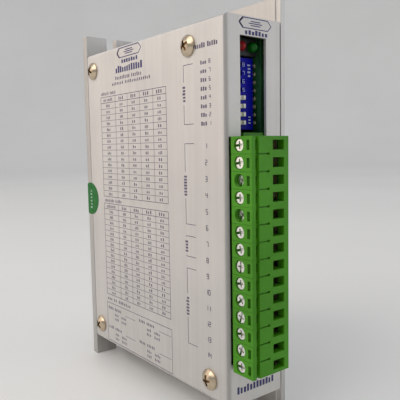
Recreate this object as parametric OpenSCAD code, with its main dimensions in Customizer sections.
// Slim two-phase stepper driver module: an L-shaped aluminium heat sink, a folded sheet lid,
// one circuit board, and a 14-way pluggable screw terminal on the narrow front.
//
// Case coordinates: X runs from the lid's printed face to the base plate, Y from the narrow
// front to the rear wall, Z up. place() moves them so that the origin is bottom centre.

/* [Case] */
// Thickness of the case, printed face to the back of the base plate
case_t = 25.1; // [25.1:0.1:27]
// Depth of the case, narrow front to the back of the rear wall
case_d = 89.9; // [89.9:0.1:100]
// Height of the closed body, without the flanges
body_h = 118.6; // [118.6:0.1:128]
// Height of each mounting flange above and below the body
flange_h = 8; // [7:0.5:12]
// Thickness of the base plate
base_t = 2.2; // [2:0.1:3]
// Thickness of the rear wall
rear_t = 3.4; // [3:0.1:4]
// Thickness of the lid's sheet
sheet_t = 1.0; // [0.8:0.1:1.2]
// Outer radius of the lid's bends
bend_r = 1.5; // [1.3:0.1:2]
// Width of the open mounting slots
slot_w = 4.6; // [4.3:0.1:5.4]
// Depth of the mounting slots from the flange's edge
slot_depth = 6.3; // [5.5:0.1:6.8]

/* [Lid openings] */
// Window for lamps and switches: low X
window_left = 6.0; // [5.6:0.1:6.4]
// Window and terminal opening: high X
window_right = 16.8; // [16.4:0.1:17.2]
// Top edge of the window
window_top = 120.9; // [120:0.1:122]
// Terminal opening: low X, just past the bend
terminal_x = 1.3; // [1.3:0.1:2]
// Bottom edge of the terminal opening
terminal_bottom = 21.7; // [21:0.1:22.4]

/* [Terminals] */
// Number of terminal poles
poles = 14; // [8:1:14]
// Distance from pole to pole
pitch = 5.08; // [5:0.04:5.08]
// Height of the lowest pole's centre
pole_low = 22.55; // [22:0.05:23]
// How far the plug stands out of the narrow front
plug_out = 9.7; // [9.5:0.1:10]

/* [Switches and lamps] */
// Number of slide switches
switches = 8; // [6:1:8]
// Distance from switch to switch
switch_pitch = 2.54; // [2.5:0.02:2.54]
// Height of the middle of the switch block
switch_mid = 104.4; // [104:0.1:104.6]
// Travel of one slider
slider_travel = 2.3; // [1.8:0.1:2.3]
// Switches that stand on, counted from the bottom
switches_on = 4; // [0:1:8]
// Height of the two lamps
lamp_z = 118.5; // [118.3:0.1:118.7]

/* [Hidden] */
$fn = 48;

// How far a cutter runs past the surface it cuts
cut = 1;

total_h = body_h + 2 * flange_h;
body_low = flange_h;
body_high = flange_h + body_h;
base_x = case_t - base_t;
rear_y = case_d - rear_t;
lid_gap = 0.4;
sheet_end_y = rear_y - lid_gap;
lid_slit = 0.2;
inner_bend_min = 0.2;
window_x = [window_left, window_right];

// Heat sink: rounded rear corner, rebate along the base plate's front, slot places
heel_r = 1;
rebate_deep = 0.4;
rebate_wide = 2;
rear_slot_x = 11.6;
base_slot_y = case_d / 2;

// Cover screws: pan heads on tall posts
head_r = 3.4;
head_h = 2.0;
head_dome_r = 4.8;
cover_shank_r = 1.45;
cover_shank_l = 7;
cover_hole_r = 1.8;
cover_screw_turns = [25, 62, 99, 136];
post_r = 3.2;
post_tap_l = 9;
rear_screw_y = case_d - 8.7;
upper_screw_z = body_high - 6.9;
lower_screw_z = body_low + 6.7;
cover_screw_at = [[17.2, upper_screw_z], [rear_screw_y, upper_screw_z],
    [8.8, lower_screw_z], [rear_screw_y, lower_screw_z]];

// Cross recess of a pan head, as shares of the head's radius and height
recess_reach = 0.52;
recess_half = 0.13;
recess_floor = 0.35;

// Tapped holes are this much wider than their screws
thread_gap = 0.05;

// Circuit board and what holds it
board_x = 16.7;
board_t = 1.6;
board_back = board_x + board_t;
board_low = [2.4, body_low + 1.6];
board_high = [rear_y - 0.9, body_high - 1.6];
board_screw_at = [[26, 17], [26, 118], [76, 27], [76, 107]];
board_screw_r = 1.5;
board_screw_head = [2.8, 1.8, 4];
board_screw_turn = 30;
board_screw_tip = 1.4;
board_tap_l = 1.6;
board_hole_gap = 0.1;
post_hole_gap = 0.4;
spacer_r = 2.75;

// Seal sticker, cut off at the rear edge
sticker_r = 6.7;
sticker_t = 0.1;
sticker_at = [case_d - 2.6, 67.6];

// Header
header_x = 8.2;
header_y = [1.2, 13.2];
header_wall = 0.9;
header_inner_y = header_y[1] - 3;
pin_x = 12.45;
pin_w = 1.0;
pin_y = [2.8, 14.8];
pin_tail = 1.4;
pin_gap = 0.02;
pin_slot_gap = 0.2;
header_end_wall = 1.2;
poles_mid = pole_low + (poles - 1) * pitch / 2;
header_half = poles * pitch / 2 + 1.27;

// Plug: outer body, tongue, and one clamp per pole
plug_x = [1.15, 16.2];
plug_back = -1.0;
plug_front = -plug_out;
tongue_x = [9.4, 15.5];
tongue_y = 8.4;
tongue_inset = 1.15;
tongue_gap = 0.3;
screw_turns = [4, 8, 68, 3, 52, 12, 16, 88, 8, 38, 72, 10, 68, 2];
sunk_screws = [3, 5];
screw_y = -4.3;
screw_hole_r = 1.95;
screw_head_r = 1.75;
screw_head_h = 1.9;
screw_slot = [5, 0.7];
screw_cross = [0.5, 2.2];
screw_slot_deep = 0.9;
screw_shank_r = 1.42;
screw_head_x = 1.55;
screw_tip_x = 9.8;
sunk_by = 1.0;
cage_y = [-6.9, -2.4];
cage_x = [8.0, 14.7];
cage_half = 2.05;
cage_wall = 0.55;
cage_plate = 1.8;
cage_travel = 3.0;
cage_room = [cage_x[0] - cage_travel - 0.3, 15.0];
cage_room_y = [-7.1, -1.8];
cage_room_half = 2.2;
cage_hole_gap = 0.08;
entry_x = [9.6, 14.3];
entry_half = 1.42;
leaf_room_x = [11.1, 13.8];
leaf_room_half = 1.05;
test_slot_y = [-8.8, -7.6];
test_slot_half = 1.4;
test_slot_deep = 3;

// Grooves that show on the plug's outer faces
groove_x = [2.6, 4.0];
groove_deep = 0.9;
seam_x = [3.9, 7.9];
seam_half = 0.2;
seam_deep = 0.5;
dimple_r = 0.4;
dimple_deep = 1.4;
joint_half = 0.06;
joint_deep = 0.15;

// Plug contacts: clamping strip, link, and two leaves
strip_x = [9.95, 10.45];
strip_y = -7.0;
link_y = [-2.3, -1.8];
leaf_x = [11.3, 13.15];
leaf_t = 0.45;
leaf_end = 7.8;
contact_half = 0.8;

// Switch block and sliders
switch_x = [5.6, 15.5];
switch_y = [4.6, 11.2];
slider_l = 2.3;
slider_half = 0.65;
slider_front = 2.9;
slider_on_x = 8.65;
switch_row_y = [5.4, 10.48];
switch_end = 0.8;
slider_side_gap = 0.08;
slider_end_gap = 0.1;
slider_floor = 0.1;
slider_deep = 1.5;
ridge_l = 0.9;
ridge_step = 0.7;
switch_pin_half = 0.25;
switch_pin_tail = 1.2;
switch_hole_r = 0.45;

// Lamp holder
lamp_x = [9.5, 14.4];
lamp_r = 1.5;
lamp_tip_y = 1.7;
holder_x = 7.3;
holder_y = [4.0, 8.4];
holder_half = 2.6;
lamp_back_y = 6.9;
lamp_back_gap = 0.1;
lamp_gap = 0.05;
lead_room_r = 1.2;
lead_half = 0.25;
lead_row = 0.64;
lead_start_y = 6;
lead_bend = [2, 0.6];

// What stands on the board's face: cans, inductor, chips
can_r = 6.25;
can_l = 25;
can_y = 64;
can_z = [44, 74];
can_off = 6.5;
can_lead_r = 0.4;
can_lead_row = 2.5;
can_lead_drop = 2;
can_lead_tail = 1;
inductor_at = [50, 106];
inductor_base = [12, 1.2];
inductor_core = [4, 5.4];
inductor_top = [5.6, 1.4];
controller_at = [44, 36];
driver_y = 42;
driver_z = [56, 72];
opto_y = 26;
opto_z = [70, 79, 88];
leg_t = 0.2;
leg_foot = 0.8;
leg_out = 0.3;
chip_lift = 0.12;

// What stands under the board: transistors on one thermal pad
transistor_y = 56;
transistor_low = 40;
transistor_pitch = 8.6;
transistors = 8;
transistor_size = [2.2, 6.1, 6.6];
transistor_lift = 0.1;
tab_leg = [0.5, 2.5, 0.8];
tab_leg_y = -5.4;
tab_leg_row = 2.28;
pad_low = [51, 35];
pad_high = [60, 105.5];

// The origin is the bottom centre of everything
shift_x = (head_h - case_t) / 2;
shift_y = (plug_out - case_d) / 2;

// Case coordinates to the part's own frame
module place() translate([shift_x, shift_y, 0]) children();

// A box from one corner to the other
module span(low, high) translate(low) cube(high - low);

// Children turned so that their Z runs along X, Y or minus Y
module along_x() rotate([0, 90, 0]) children();
module along_y() rotate([-90, 0, 0]) children();
module towards_front() rotate([90, 0, 0]) children();

function pole_z(n) = pole_low + (poles - n) * pitch;
function switch_z(n) = switch_mid + (n - (switches + 1) / 2) * switch_pitch;
function is_sunk(n) = len([for (s = sunk_screws) if (s == n) s]) > 0;

// ---------------------------------------------------------------- case

// Open slot with a round end, cut in from the flange's edge; drawn in its own plane
module slot_outline() {
    translate([-slot_w / 2, 0]) square([slot_w, slot_depth - slot_w / 2 + cut]);
    circle(d = slot_w);
}

// One slot at each end of a flange pair; turn it with the parent's transform
module slot_pair(thick) {
    for (up = [0, 1])
        translate([0, 0, up == 1 ? total_h - slot_depth + slot_w / 2 : slot_depth - slot_w / 2])
            mirror([0, 0, 1 - up])
                towards_front()
                    linear_extrude(thick, center = true) slot_outline();
}

// L-shaped extrusion: thin base plate with a shallow rebate along its front, thick rear wall
module base_heat_sink() color("gainsboro") place()
    difference() {
        linear_extrude(total_h) difference() {
            union() {
                translate([base_x, 0]) square([base_t, case_d - heel_r]);
                translate([0, rear_y]) square([case_t - heel_r, rear_t]);
                translate([case_t - heel_r, case_d - heel_r]) circle(heel_r);
            }
            translate([base_x - cut, -cut]) square([cut + rebate_deep, cut + rebate_wide]);
        }
        translate([rear_slot_x, rear_y + rear_t / 2, 0]) slot_pair(rear_t + 2 * cut);
        translate([base_x + base_t / 2, base_slot_y, 0]) rotate([0, 0, 90]) slot_pair(base_t + 2 * cut);
        for (at = board_screw_at) translate([base_x - cut, at[0], at[1]]) along_x()
            cylinder(h = cut + board_tap_l, r = board_screw_r + thread_gap);
    }

// The lid's solid envelope, grown inwards by t
module lid_envelope(t) {
    r = max(bend_r - t, inner_bend_min);
    past = t > 0 ? cut : 0;
    intersection() {
        translate([0, 0, body_low + t]) linear_extrude(body_h - 2 * t) {
            translate([t, t + r]) square([base_x - t, sheet_end_y - t - r + past]);
            translate([t + r, t]) square([base_x - t - r, 2 * r]);
            translate([t + r, t + r]) circle(r);
        }
        translate([0, case_d, 0]) towards_front() linear_extrude(case_d + cut) {
            translate([t, body_low + t + r]) square([base_x + cut, body_h - 2 * t - 2 * r]);
            translate([t + r, body_low + t]) square([base_x + cut, body_h - 2 * t]);
            for (z = [body_low + t + r, body_high - t - r]) translate([t + r, z]) circle(r);
        }
    }
}

// Folded lid: printed face, narrow front, top and bottom flaps
module cover() color("lightgray") place()
    difference() {
        lid_envelope(0);
        lid_envelope(sheet_t);
        span([base_x - cut, sheet_t, body_low + sheet_t], [base_x + cut, case_d, body_high - sheet_t]);
        span([window_x[0], -cut, poles_mid], [window_x[1], sheet_t + cut, window_top]);
        span([terminal_x, -cut, terminal_bottom], [window_x[1], sheet_t + cut, pole_z(1) + pitch / 2]);
        span([tongue_x[0] - tongue_gap, -cut, pole_low - pitch / 2 + tongue_inset - tongue_gap],
            [window_x[1], sheet_t + cut, poles_mid]);
        for (z = [body_low - cut, body_high - sheet_t])
            span([bend_r, sheet_t, z], [base_x + cut, sheet_t + lid_slit, z + sheet_t + cut]);
        for (at = cover_screw_at)
            translate([-cut, at[0], at[1]]) along_x() cylinder(h = sheet_t + 2 * cut, r = cover_hole_r);
    }

// Pan-head screw along Z, head up from z = 0, with a cross recess
module pan_screw(head_radius, head_height, dome_r, shank_r, shank_l, turn) {
    difference() {
        intersection() {
            cylinder(h = head_height, r = head_radius);
            translate([0, 0, head_height - dome_r]) sphere(dome_r);
        }
        rotate([0, 0, turn]) for (a = [0, 90]) rotate([0, 0, a])
            translate([-head_radius * recess_reach, -head_radius * recess_half, head_height * recess_floor])
                cube([2 * head_radius * recess_reach, 2 * head_radius * recess_half, head_height]);
    }
    translate([0, 0, -shank_l]) cylinder(h = shank_l, r = shank_r);
}

module cover_screws() color("tan") place()
    for (i = [0:3]) translate([0, cover_screw_at[i][0], cover_screw_at[i][1]])
        rotate([0, -90, 0])
            pan_screw(head_r, head_h, head_dome_r, cover_shank_r, cover_shank_l, cover_screw_turns[i]);

// Tall hexagonal posts between the base plate and the lid
module cover_posts() color("silver") place()
    for (at = cover_screw_at) translate([sheet_t, at[0], at[1]]) along_x() difference() {
        cylinder(h = base_x - sheet_t, r = post_r, $fn = 6);
        translate([0, 0, -cut]) cylinder(h = post_tap_l + cut, r = cover_shank_r + thread_gap);
    }

// Round seal on the lid, cut off straight at the rear edge
module seal_sticker() color("mediumseagreen") place()
    intersection() {
        translate([-sticker_t, sticker_at[0], sticker_at[1]]) along_x()
            cylinder(h = sticker_t, r = sticker_r);
        span([-cut, 0, 0], [cut, case_d, total_h]);
    }

// ---------------------------------------------------------------- board

// Cutter for one round hole through the board
module board_hole(y, z, r)
    translate([board_x - cut, y, z]) along_x() cylinder(h = board_t + 2 * cut, r = r);

module circuit_board() color("darkgreen") place()
    difference() {
        span([board_x, board_low[0], board_low[1]], [board_back, board_high[0], board_high[1]]);
        for (at = cover_screw_at) board_hole(at[0], at[1], post_r + post_hole_gap);
        for (at = board_screw_at) board_hole(at[0], at[1], board_screw_r + board_hole_gap);
        for (n = [1:switches], y = switch_row_y) board_hole(y, switch_z(n), switch_hole_r);
        for (z = can_z, side = [-1, 1])
            board_hole(can_y + side * can_lead_row, z - can_lead_drop, can_lead_r + board_hole_gap);
        for (n = [1:poles])
            span([board_x - cut, pin_y[1] - pin_w - pin_slot_gap, pole_z(n) - pin_w / 2 - pin_slot_gap],
                [board_back + cut, pin_y[1] + pin_slot_gap, pole_z(n) + pin_w / 2 + pin_slot_gap]);
    }

module board_spacers() color("goldenrod") place()
    for (at = board_screw_at) translate([board_back, at[0], at[1]]) along_x() difference() {
        cylinder(h = base_x - board_back, r = spacer_r, $fn = 6);
        translate([0, 0, -cut])
            cylinder(h = base_x - board_back + 2 * cut, r = board_screw_r + board_hole_gap);
    }

module board_screws() color("silver") place()
    for (at = board_screw_at) translate([board_x, at[0], at[1]]) rotate([0, -90, 0])
        pan_screw(board_screw_head[0], board_screw_head[1], board_screw_head[2], board_screw_r,
            base_x - board_x + board_screw_tip, board_screw_turn);

// Plastic shell of the header, open towards the front
module terminal_header() color("forestgreen") place()
    difference() {
        span([header_x, header_y[0], poles_mid - header_half],
            [board_x, header_y[1], poles_mid + header_half]);
        span([header_x + header_wall, header_y[0] - cut, poles_mid - header_half + header_end_wall],
            [board_x - header_wall, header_inner_y, poles_mid + header_half - header_end_wall]);
        for (n = [1:poles]) {
            half = pin_w / 2 + pin_gap;
            span([pin_x - half, header_inner_y - cut, pole_z(n) - half],
                [pin_x + half, header_y[1] + cut, pole_z(n) + half]);
        }
    }

// Square pins, bent down behind the header and through the board
module header_pins() color("silver") place()
    for (n = [1:poles]) {
        half = pin_w / 2;
        span([pin_x - half, pin_y[0], pole_z(n) - half], [pin_x + half, pin_y[1], pole_z(n) + half]);
        span([pin_x - half, pin_y[1] - pin_w, pole_z(n) - half],
            [board_back + pin_tail, pin_y[1], pole_z(n) + half]);
    }

// Gull-wing leg: out of the body, down, and along the board
module gull_leg(height, half) {
    span([-height / 2 - leg_t / 2, -leg_t, -half], [-height / 2 + leg_t / 2, leg_out + leg_t, half]);
    span([-height / 2 - leg_t / 2, leg_out, -half], [0, leg_out + leg_t, half]);
    span([-leg_t, leg_out, -half], [0, leg_out + leg_foot, half]);
}

// Chip body with legs on two sides, or on four, standing on the board
module chip(size_y, size_z, height, legs, leg_pitch, four_sides = false) {
    span([-height, -size_y / 2, -size_z / 2], [-chip_lift, size_y / 2, size_z / 2]);
    for (side = four_sides ? [0, 90, 180, 270] : [0, 180]) rotate([side, 0, 0])
        for (i = [0:legs - 1])
            translate([0, (side % 180 == 0 ? size_y : size_z) / 2, (i - (legs - 1) / 2) * leg_pitch])
                gull_leg(height, leg_pitch / 5);
}

module controller_chip() color("dimgray") place()
    translate([board_x, controller_at[0], controller_at[1]])
        chip(size_y = 10, size_z = 10, height = 1.5, legs = 11, leg_pitch = 0.8, four_sides = true);

module gate_drivers() color("dimgray") place()
    for (z = driver_z) translate([board_x, driver_y, z])
        chip(size_y = 7.5, size_z = 10.3, height = 2.4, legs = 8, leg_pitch = 1.27);

module opto_isolators() color("dimgray") place()
    for (z = opto_z) translate([board_x, opto_y, z])
        chip(size_y = 6.2, size_z = 5, height = 3.2, legs = 2, leg_pitch = 2.54);

// Two cans lying on the board, their leads bent down through it
module bulk_capacitors() color("midnightblue") place()
    for (z = can_z) {
        translate([board_x - can_off, can_y, z]) cylinder(h = can_l, r = can_r);
        for (side = [-1, 1])
            translate([board_x - can_off, can_y + side * can_lead_row, z - can_lead_drop]) {
                cylinder(h = can_lead_drop, r = can_lead_r);
                along_x() cylinder(h = can_off + board_t + can_lead_tail, r = can_lead_r);
            }
    }

// Shielded inductor: square base, round winding, flange on top
module supply_inductor() color("gray") place()
    translate([board_x, inductor_at[0], inductor_at[1]]) rotate([0, -90, 0]) {
        translate([-inductor_base[0] / 2, -inductor_base[0] / 2, 0])
            cube([inductor_base[0], inductor_base[0], inductor_base[1]]);
        cylinder(h = inductor_core[1], r = inductor_core[0]);
        translate([0, 0, inductor_core[1]]) cylinder(h = inductor_top[1], r = inductor_top[0]);
    }

// Transistors under the board, with their flat backs against the thermal pad
module power_transistors() color("dimgray") place()
    for (i = [0:transistors - 1])
        translate([board_back, transistor_y, transistor_low + transistor_pitch * i]) {
            translate([transistor_lift, -transistor_size[1] / 2, -transistor_size[2] / 2])
                cube(transistor_size);
            for (z = [-tab_leg_row, tab_leg_row])
                translate([0, tab_leg_y, z - tab_leg[2] / 2]) cube(tab_leg);
        }

module thermal_pad() color("lightsteelblue") place()
    span([board_back + transistor_lift + transistor_size[0], pad_low[0], pad_low[1]],
        [base_x, pad_high[0], pad_high[1]]);

// ---------------------------------------------------------------- plug

// Room inside the housing for one pole: screw hole, cage, wire entry, contact, test slot
module pole_room() {
    translate([plug_x[0] - cut, screw_y, 0]) along_x()
        cylinder(h = cage_room[0] - plug_x[0] + 2 * cut, r = screw_hole_r);
    span([cage_room[0], cage_room_y[0], -cage_room_half], [cage_room[1], cage_room_y[1], cage_room_half]);
    span([entry_x[0], plug_front - cut, -entry_half], [entry_x[1], cage_room_y[0] + cut, entry_half]);
    span([leaf_room_x[0], cage_room_y[1] - cut, -leaf_room_half],
        [leaf_room_x[1], tongue_y + cut, leaf_room_half]);
    span([plug_x[0] - cut, test_slot_y[0], -test_slot_half],
        [plug_x[0] + test_slot_deep, test_slot_y[1], test_slot_half]);
}

// Seam between two poles, with a dimple at its end, on the two outer faces
module pole_seam() {
    span([seam_x[0], -cut, -seam_half], [seam_x[1], seam_deep, seam_half]);
    translate([seam_x[1], -cut, 0]) along_y() cylinder(h = cut + dimple_deep, r = dimple_r);
    span([plug_x[0] - cut, -cut, -joint_half], [plug_x[0] + joint_deep, plug_out, joint_half]);
}

// Pluggable housing: outer body, tongue, and the grooves that show on its two outer faces
module plug_housing() color("limegreen") place() {
    low = pole_low - pitch / 2;
    high = pole_z(1) + pitch / 2;
    difference() {
        union() {
            span([plug_x[0], plug_front, low], [plug_x[1], plug_back, high]);
            span([tongue_x[0], plug_back - cut, low + tongue_inset],
                [tongue_x[1], tongue_y, high - tongue_inset]);
        }
        for (n = [1:poles]) translate([0, 0, pole_z(n)]) pole_room();
        span([groove_x[0], plug_front - cut, low - cut], [groove_x[1], plug_front + groove_deep, high + cut]);
        for (n = [2:poles]) translate([0, plug_front, pole_z(n) + pitch / 2]) pole_seam();
    }
}

// Bent contact: clamping strip, link, and the two leaves that grip the header's pin
module plug_contacts() color("gold") place()
    for (n = [1:poles]) translate([0, 0, pole_z(n)]) {
        span([strip_x[0], strip_y, -contact_half], [strip_x[1], link_y[1], contact_half]);
        span([strip_x[0], link_y[0], -contact_half], [leaf_x[1] + leaf_t, link_y[1], contact_half]);
        for (x = leaf_x) span([x, link_y[0], -contact_half], [x + leaf_t, leaf_end, contact_half]);
    }

// Clamp screw for one pole, with a slot across and a shorter cross
module clamp_screw(n) color("silver") place() {
    head_x = screw_head_x + (is_sunk(n) ? sunk_by : 0);
    translate([head_x, screw_y, pole_z(n)]) along_x() difference() {
        union() {
            cylinder(h = screw_head_h, r = screw_head_r);
            cylinder(h = screw_tip_x - head_x, r = screw_shank_r);
        }
        rotate([0, 0, 90 - screw_turns[n - 1]]) for (groove = [screw_slot, screw_cross])
            translate([-groove[0] / 2, -groove[1] / 2, -cut])
                cube([groove[0], groove[1], cut + screw_slot_deep]);
    }
}

// Clamp cage for one pole: threaded plate above, pressing plate below
module clamp_cage(n) color("burlywood") place()
    translate([0, 0, pole_z(n)]) difference() {
        span([cage_x[0], cage_y[0], -cage_half], [cage_x[1], cage_y[1], cage_half]);
        span([cage_x[0] + cage_plate, cage_y[0] - cut, cage_wall - cage_half],
            [cage_x[1] - cage_wall, cage_y[1] + cut, cage_half - cage_wall]);
        translate([cage_x[0] - cut, screw_y, 0]) along_x()
            cylinder(h = cage_plate + 2 * cut, r = screw_shank_r + cage_hole_gap);
    }

// ---------------------------------------------------------------- switches and lamps

// Switch block with one open slot per slider
module switch_case() color("blue") place()
    difference() {
        half = switches * switch_pitch / 2 + switch_end;
        span([switch_x[0], switch_y[0], switch_mid - half], [switch_x[1], switch_y[1], switch_mid + half]);
        side = slider_half + slider_side_gap;
        for (n = [1:switches]) translate([slider_on_x, switch_y[0], switch_z(n)])
            span([-slider_travel - slider_end_gap, -cut, -side],
                [slider_l + slider_end_gap, slider_deep + slider_floor, side]);
    }

module switch_pins() color("silver") place()
    for (n = [1:switches], y = switch_row_y)
        span([switch_x[1], y - switch_pin_half, switch_z(n) - switch_pin_half],
            [board_back + switch_pin_tail, y + switch_pin_half, switch_z(n) + switch_pin_half]);

// Slider with a raised ridge at the end that is nearer the board
module switch_slider(n) color("white") place()
    translate([n <= switches_on ? slider_on_x : slider_on_x - slider_travel, 0, switch_z(n)]) {
        span([0, slider_front + ridge_step, -slider_half],
            [slider_l, switch_y[0] + slider_deep, slider_half]);
        span([slider_l - ridge_l, slider_front, -slider_half], [slider_l, switch_y[0], slider_half]);
    }

// Black block that holds the two lamps side by side
module lamp_holder() color("black") place()
    difference() {
        span([holder_x, holder_y[0], lamp_z - holder_half], [board_x, holder_y[1], lamp_z + holder_half]);
        for (x = lamp_x) translate([x, 0, lamp_z]) along_y() {
            cylinder(h = lamp_back_y + lamp_back_gap, r = lamp_r + lamp_gap);
            cylinder(h = holder_y[1] + cut, r = lead_room_r);
        }
    }

// Domed lamp with two leads bent into the board, the outer lamp's behind the inner lamp's
module lamp(i) translate([lamp_x[i], 0, lamp_z]) {
    translate([0, lamp_tip_y + lamp_r, 0]) {
        sphere(lamp_r);
        along_y() cylinder(h = lamp_back_y - lamp_tip_y - lamp_r, r = lamp_r);
    }
    back = holder_y[1] + lead_bend[i];
    for (z = [-lead_row, lead_row]) {
        span([-lead_half, lead_start_y, z - lead_half], [lead_half, back, z + lead_half]);
        span([-lead_half, back - 2 * lead_half, z - lead_half], [board_x - lamp_x[i], back, z + lead_half]);
    }
}

module red_lamp() color("red") place() lamp(0);

module green_lamp() color("green") place() lamp(1);

base_heat_sink();
cover();
cover_screws();
cover_posts();
seal_sticker();
circuit_board();
board_spacers();
board_screws();
terminal_header();
header_pins();
switch_case();
switch_pins();
lamp_holder();
red_lamp();
green_lamp();
bulk_capacitors();
supply_inductor();
controller_chip();
gate_drivers();
opto_isolators();
power_transistors();
thermal_pad();
plug_housing();
plug_contacts();
for (n = [1:poles]) {
    clamp_screw(n);
    clamp_cage(n);
}
for (n = [1:switches])
    switch_slider(n);
